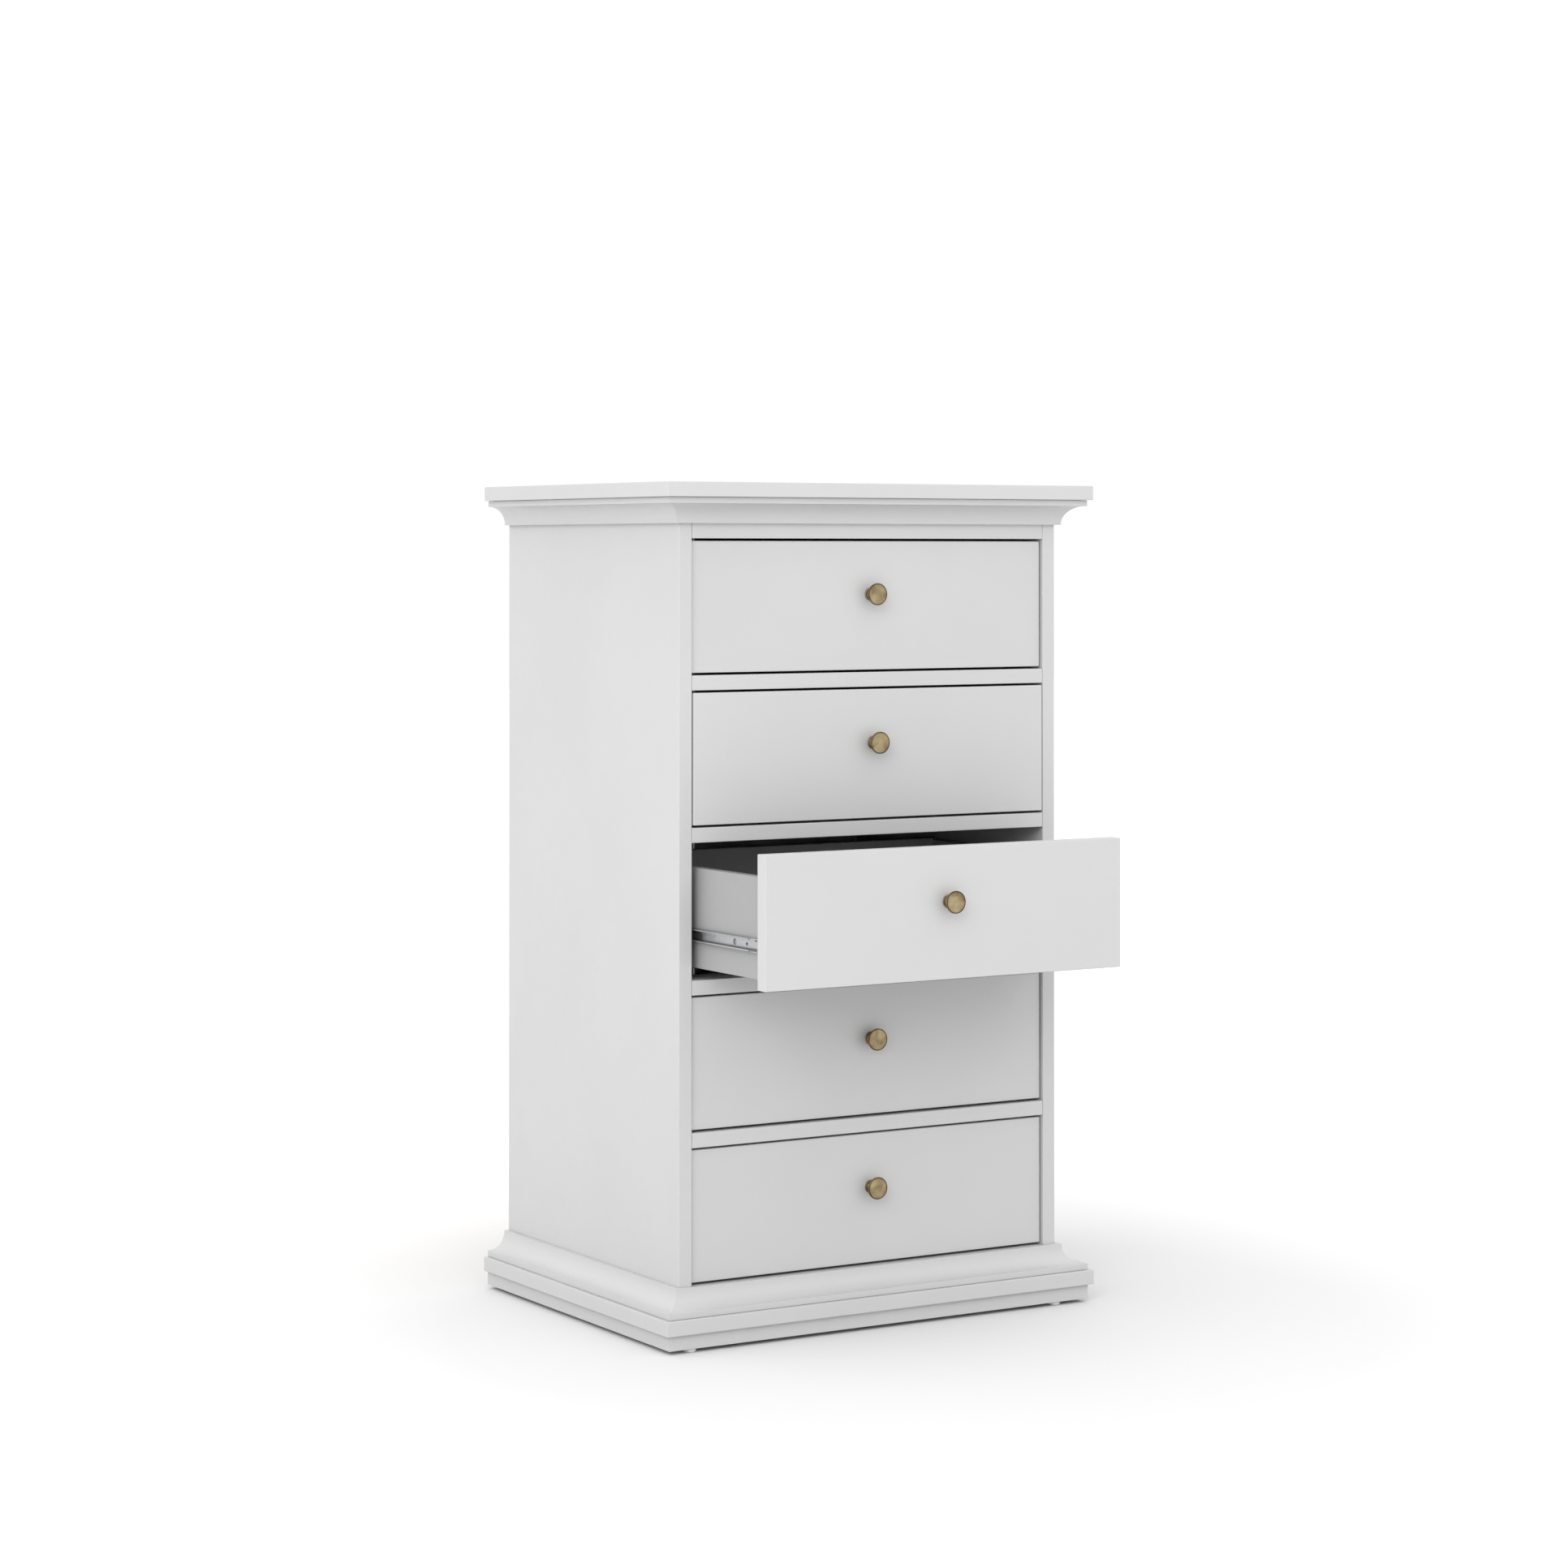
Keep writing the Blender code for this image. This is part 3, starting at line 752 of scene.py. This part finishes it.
def knob_profile(tall):
    """(radius, distance out, darkening) from the foot of the knob to the middle of its domed face; the
    darkening is patina in the grooves and painted shade on the neck under the face.
    """
    foot = [(0.0, JOINT, 1.0), (0.0082, JOINT, 1.0), (0.0086, 0.0006, 1.0), (0.0086, 0.0015, 0.25),
            (0.0082, 0.0020, 0.4)]
    neck = curve_through([(0.0072, 0.0023), (0.0070, 0.0027), (0.0075, 0.0033), (0.0074, 0.0046),
                          (0.0064, 0.0062), (0.0058, 0.0085), (0.0058, 0.0108), (0.0064, 0.0130),
                          (0.0084, 0.0147), (0.0112, 0.0156), (0.0134, 0.0160)], 4)
    rim = [(0.0141, 0.0162, 1.0), (0.0143, 0.0165, 1.0), (0.0143, 0.0168, 0.4), (0.0143, 0.0178, 0.1),
           (0.0142, 0.0182, 0.6), (0.0139, 0.0184, 1.0), (0.0136, 0.0184, 1.0), (0.0132, 0.0182, 1.0)]
    face = [(0.0127, tall - 0.0010, 0.2), (0.0105, tall - 0.0007, 0.0), (0.0070, tall - 0.0003, 0.0),
            (0.0035, tall - 0.0001, 0.0), (0.0, tall, 0.0)]
    # painted shade: the neck darkens towards the face that overhangs it
    shaded_neck = []
    for radius, out in neck:
        shade = 1.0 if out < KNOB_FOOT else KNOB_NECK_SHADE * out / tall
        shaded_neck.append((radius, out, shade))
    return foot + shaded_neck + rim + face


def build_knob(number, body, screw):
    """A turned knob, and the screw that holds it from inside the drawer."""
    node = f"drawer_{number}_knob"
    low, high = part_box(node)
    front_low, front_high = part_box(f"drawer_{number}_front")
    centre = ((low.x + high.x) / 2, front_low.y, (low.z + high.z) / 2)
    profile = knob_profile(front_low.y - low.y)
    bm = bmesh.new()
    # each ring's darkening: patina in the grooves, painted shade on the neck
    layer = bm.verts.layers.float.new("patina_and_shade")
    place = Matrix.Translation(centre) @ turned_to(0, -1, 0)
    rings = add_turned(bm, [(radius, out) for radius, out, patina_and_shade in profile], KNOB_STEPS, place)
    for ring, (radius, out, patina_and_shade) in zip(rings, profile):
        for vert in ring:
            vert[layer] = patina_and_shade
    name = f"drawer_{number}_handle"
    add_piece(name, mesh_from(name, bm, BRASS), body, [node])
    add_piece(f"drawer_{number}_handle_screw", screw, body, [node],
              (centre[0], front_high.y, centre[2]))


def screw_head(radius, height, reach, depth):
    """A pan head with a cross recess, its axis along +Z from the surface it sits on."""
    bm = bmesh.new()
    crown = curve_through([(radius, height * 0.35), (radius * 0.86, height * 0.8),
                           (radius * 0.5, height)], 5)
    add_turned(bm, [(0, -SCREW_SUNK), (radius * 0.97, -SCREW_SUNK), *crown, (0, height)], 48)
    head = mesh_from("screw_head", bm, ZINC)
    return cross_cut(head, height - depth, height + depth, reach, reach * 0.24)


def cross_cut(mesh, low, high, reach, half_width):
    """A mesh with a cross recess between two heights, about the Z axis."""
    for across, along in ((reach, half_width), (half_width, reach)):
        tool = bmesh.new()
        add_block(tool, (-across, -along, low), (across, along, high))
        mesh = cut(mesh, mesh_from("slot", tool))
    return mesh


def turned_copy(mesh, matrix):
    """A copy moved by a matrix."""
    made = mesh.copy()
    made.transform(matrix)
    return made


# ---------------------------------------------------------------- slides

def make_runner():
    """Drawer member for the left side: a C with rolled lips, its web at X = 0, open towards -X."""
    low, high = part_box("drawer_1_runner_left")
    half, reach, length = (high.z - low.z) / 2, high.x - low.x, high.y - low.y
    metal, mouth = SLIDE_METAL, RUNNER_MOUTH_HALF
    upper = [(0, half, 0.0012), (reach, half, 0.0018),
             (reach, mouth, 0.0004), (reach - metal, mouth, 0.0004),
             (reach - metal, half - metal, 0.0008), (metal, half - metal, 0.0006)]
    lower = [(p, -z, radius) for p, z, radius in reversed(upper)]
    bm = bmesh.new()
    add_sweep(bm, rounded(upper + lower, steps=5), [(0, -1, 0, 0), (0, -1, length, 0)])
    runner = mesh_from("runner", bm, ZINC)
    tool = bmesh.new()
    for along, radius in (PILOT_HOLE, ROUND_WINDOW):
        place = Matrix.Translation((-0.004, along, 0)) @ turned_to(1, 0, 0)
        add_turned(tool, [(0, 0), (radius, 0), (radius, 0.008), (0, 0.008)], 40, place)
    for sign in (-1, 1):
        lip = sorted((sign * (mouth - 0.002), sign * (half + 0.001)))
        add_block(tool, (-reach - 0.001, -0.001, lip[0]), (-reach + 0.0022, LIP_STARTS, lip[1]))
        slot = sorted(sign * up for up in LATCH_SLOT_UP)
        add_block(tool, (-0.003, LATCH_SLOT[0], slot[0]), (0.002, LATCH_SLOT[1], slot[1]))
    return cut(runner, mesh_from("runner_tool", tool))


def make_channel():
    """Cabinet member for the left side: a plate on the side panel at X = 0, two legs towards +X."""
    low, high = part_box("drawer_1_channel_left")
    half, length = (high.z - low.z) / 2, high.y - low.y
    plate, reach = CHANNEL_PLATE, CHANNEL_LEG_REACH
    upper = [(0, half, 0), (plate, half, 0.0004), (plate, CHANNEL_LEG_OUTER, 0.0006),
             (reach, CHANNEL_LEG_OUTER, 0.0006), (reach, CHANNEL_LEG_INNER, 0.0004),
             (plate, CHANNEL_LEG_INNER, 0.0006)]
    lower = [(p, -z, radius) for p, z, radius in reversed(upper)]
    bm = bmesh.new()
    add_sweep(bm, rounded(upper + lower, steps=4), [(0, 1, 0, 0), (0, 1, length, 0)])
    return mesh_from("channel", bm, ZINC)


def ball_places():
    """(height, distance along the cage) of each ball, in two rows."""
    count = int(CAGE_LENGTH / BALL_SPACING)
    margin = (CAGE_LENGTH - (count - 1) * BALL_SPACING) / 2
    return [(sign * BALL_UP, margin + step * BALL_SPACING) for sign in (-1, 1) for step in range(count)]


def make_cage():
    """The strip that spaces the balls, with its web near the runner's; the same frame as the runner."""
    near, far = 0.00135, 0.0062
    up, metal = BALL_UP + CAGE_METAL / 2, CAGE_METAL
    upper = [(near, up, 0.0004), (far, up, 0), (far, up - metal, 0), (near + metal, up - metal, 0)]
    lower = [(p, -z, radius) for p, z, radius in reversed(upper)]
    bm = bmesh.new()
    add_sweep(bm, rounded(upper + lower), [(0, -1, 0, 0), (0, -1, CAGE_LENGTH, 0)])
    tool = bmesh.new()
    for z, along in ball_places():
        place = Matrix.Translation((-BALL_OUT, along, z - 0.001))
        radius = BALL_RADIUS + 0.0001
        add_turned(tool, [(0, 0), (radius, 0), (radius, 0.002), (0, 0.002)], 20, place)
    return cut(mesh_from("cage", bm, ZINC), mesh_from("cage_tool", tool))


def make_balls():
    """The balls of one slide, in the same frame as the cage."""
    bm = bmesh.new()
    for z, along in ball_places():
        place = Matrix.Translation((-BALL_OUT, along, z))
        bmesh.ops.create_uvsphere(bm, u_segments=16, v_segments=10, radius=BALL_RADIUS, matrix=place)
    return mesh_from("balls", bm, BALL_STEEL)


def joined(name, mesh, places, *materials):
    """One mesh of copies of another, each moved by a matrix."""
    bm = bmesh.new()
    for place in places:
        copy = turned_copy(mesh, place)
        bm.from_mesh(copy)
        bpy.data.meshes.remove(copy)
    return mesh_from(name, bm, *materials)


def make_slide_parts():
    """Meshes for a left slide, by part name."""
    flat_head = screw_head(SLIDE_SCREW_RADIUS, 0.0002, 0.0022, 0.0006)
    on_runner = [Matrix.Translation((-SLIDE_METAL, along, 0)) @ turned_to(-1, 0, 0)
                 for along in RUNNER_SCREWS]
    pan_head = screw_head(SLIDE_SCREW_RADIUS, 0.0014, 0.0018, 0.0009)
    on_channel = [Matrix.Translation((CHANNEL_PLATE, along, 0)) @ turned_to(1, 0, 0)
                  for along in CHANNEL_SCREWS]
    return {
        "runner": make_runner(),
        "runner_screws": joined("runner_screws", flat_head, on_runner, ZINC),
        "channel": make_channel(),
        "channel_screws": joined("channel_screws", pan_head, on_channel, ZINC),
        "cage": make_cage(),
        "balls": make_balls(),
    }


def build_slide(number, side, parts):
    """Runner on the drawer, channel on the side panel, and the balls in their cage between them."""
    body = f"drawer_{number}"
    runner_node, channel_node = (f"{body}_{part}_{side}" for part in ("runner", "channel"))
    runner_low, runner_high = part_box(runner_node)
    channel_low, channel_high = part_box(channel_node)
    centre_z = (channel_low.z + channel_high.z) / 2
    if side == "left":
        web_x, wall_x = runner_high.x, channel_low.x
    else:
        web_x, wall_x = runner_low.x, channel_high.x
    on_drawer = (web_x, runner_low.y, centre_z)
    on_wall = (wall_x, channel_low.y, centre_z)
    on_cage = (web_x, channel_low.y + CAGE_FROM, centre_z)
    for part, rides, nodes, at in (("runner", body, [runner_node], on_drawer),
                                   ("runner_screws", body, [runner_node], on_drawer),
                                   ("channel", "carcass", [channel_node], on_wall),
                                   ("channel_screws", "carcass", [channel_node], on_wall),
                                   ("cage", "carcass", [], on_cage),
                                   ("balls", "carcass", [], on_cage)):
        add_piece(f"{body}_slide_{part}_{side}", parts[part], rides, nodes, at)


def build_drawers():
    """Five drawers alike, each with a front, a box with its bottom, a knob and two slides."""
    box, cams = make_box(), make_cams()
    knob_screw = screw_head(SCREW_HEAD_RADIUS, SCREW_HEAD_HEIGHT, 0.0024, 0.0012)
    knob_screw = turned_copy(knob_screw, turned_to(0, 1, 0))
    parts = {"left": make_slide_parts()}
    parts["right"] = {part: mirrored(mesh) for part, mesh in parts["left"].items()}
    for number in range(1, 6):
        body = f"drawer_{number}"
        add_board(body + "_face", body + "_front", body)
        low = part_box(body + "_box")[0]
        corner = (0, low.y, low.z)
        add_piece(body + "_tray", box, body, [body + "_box"], corner)
        add_piece(body + "_cams", cams, body, [], corner)
        build_bottom(body)
        build_knob(number, body, knob_screw)
        for side in ("left", "right"):
            build_slide(number, side, parts[side])


def build_bottom(body):
    """Hardboard foiled grey on both faces, from the front to the groove in the back."""
    low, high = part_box(body + "_bottom")
    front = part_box(body + "_front")[1].y
    bm = bmesh.new()
    add_block(bm, (low.x, front + JOINT / 3, low.z), high)
    name = body + "_floor"
    add_piece(name, mesh_from(name, bm, BOX_PRINT), body, [body + "_bottom"])


# ---------------------------------------------------------------- stage

def add_light(name, at, toward, size, power):
    """A square area light that looks at a point."""
    lamp = bpy.data.lights.new(name, "AREA")
    lamp.shape = "SQUARE"
    lamp.size = size
    lamp.energy = power
    holder = bpy.data.objects.new(name, lamp)
    holder.location = at
    holder.rotation_euler = (Vector(toward) - Vector(at)).to_track_quat("-Z", "Y").to_euler()
    bpy.context.collection.objects.link(holder)


def build_ground():
    """A pale floor with a painted shadow round the chest, fading to white away from it."""
    finish = Finish("floor_with_painted_shadow", {"Roughness": 0.9, "Specular IOR Level": 0.1})
    distance = finish.node("VectorMath", operation="LENGTH")
    finish.link(finish.place(), distance.inputs[0])
    # painted shadow: the floor's tone is darker near the chest
    shadow_fade = finish.spread(distance.outputs["Value"], 0.0, 1.0, FLOOR_SHADOW_START, FLOOR_SHADOW_END)
    tones = finish.tones(shadow_fade, (0.0, grey(FLOOR_SHADOW_TONES[0])), (1.0, grey(FLOOR_SHADOW_TONES[1])))
    finish.wire("Base Color", tones)
    bm = bmesh.new()
    bmesh.ops.create_grid(bm, x_segments=1, y_segments=1, size=20.0)
    ground = bpy.data.objects.new("studio_ground", mesh_from("studio_ground", bm, finish.material))
    # moving the floor moves the centre of its painted shadow
    ground.location = FLOOR_SHADOW_CENTRE
    bpy.context.collection.objects.link(ground)


def ramp(tree, source, start, end, low, high):
    """A smooth step of a number in a node tree."""
    step = tree.nodes.new("ShaderNodeMapRange")
    step.interpolation_type = "SMOOTHSTEP"
    for socket, value in (("From Min", start), ("From Max", end), ("To Min", low), ("To Max", high)):
        step.inputs[socket].default_value = value
    tree.links.new(source, step.inputs["Value"])
    return step.outputs["Result"]


def along(tree, direction, toward):
    """How far a direction points towards another."""
    product = tree.nodes.new("ShaderNodeVectorMath")
    product.operation = "DOT_PRODUCT"
    product.inputs[1].default_value = Vector(toward).normalized()
    tree.links.new(direction, product.inputs[0])
    return product.outputs["Value"]


def combined(tree, operation, first, second):
    """Two numbers of a node tree put together by a maths operation."""
    result = tree.nodes.new("ShaderNodeMath")
    result.operation = operation
    tree.links.new(first, result.inputs[0])
    tree.links.new(second, result.inputs[1])
    return result.outputs["Value"]


def build_surround():
    """A white dome: strongest overhead, dimmer to the right and behind, with a white backdrop."""
    world = bpy.data.worlds.new("studio")
    world.use_nodes = True
    tree = world.node_tree
    direction = tree.nodes.new("ShaderNodeTexCoord").outputs["Generated"]
    rise = ramp(tree, along(tree, direction, (0, 0, 1)), *DOME_RISES, *DOME_LIGHT)
    favour = ramp(tree, along(tree, direction, DOME_FAVOURS), -1.0, 1.0, *DOME_WEIGHTS)
    backdrop = ramp(tree, along(tree, direction, BACKDROP_TOWARD), *BACKDROP_EDGE, 0.0, BACKDROP_LIGHT)
    strength = combined(tree, "MAXIMUM", combined(tree, "MULTIPLY", rise, favour), backdrop)
    background = tree.nodes["Background"]
    background.inputs["Color"].default_value = (1, 1, 1, 1)
    tree.links.new(strength, background.inputs["Strength"])
    bpy.context.scene.world = world


def build_camera():
    """A long lens at about the height of the top board, with its frame shifted down."""
    data = bpy.data.cameras.new("camera")
    data.sensor_width = 36.0
    data.lens = CAMERA_LENS
    data.shift_x = CAMERA_SHIFT_X
    data.shift_y = CAMERA_SHIFT_Y
    camera = bpy.data.objects.new("camera", data)
    camera.location = CAMERA_AT
    camera.rotation_euler = [math.radians(angle) for angle in CAMERA_TURN]
    bpy.context.collection.objects.link(camera)
    bpy.context.scene.camera = camera


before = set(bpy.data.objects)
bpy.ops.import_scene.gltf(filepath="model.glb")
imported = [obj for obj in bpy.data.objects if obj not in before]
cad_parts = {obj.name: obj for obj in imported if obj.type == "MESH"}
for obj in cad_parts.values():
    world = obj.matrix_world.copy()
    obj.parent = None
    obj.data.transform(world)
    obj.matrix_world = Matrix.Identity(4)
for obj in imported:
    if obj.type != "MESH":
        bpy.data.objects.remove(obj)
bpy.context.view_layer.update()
build_camera()
build_carcass()
build_drawers()
build_ground()
build_surround()
add_light("key", KEY_AT, KEY_TOWARD, KEY_SIZE, KEY_POWER)
bpy.context.scene.view_settings.view_transform = "Standard"
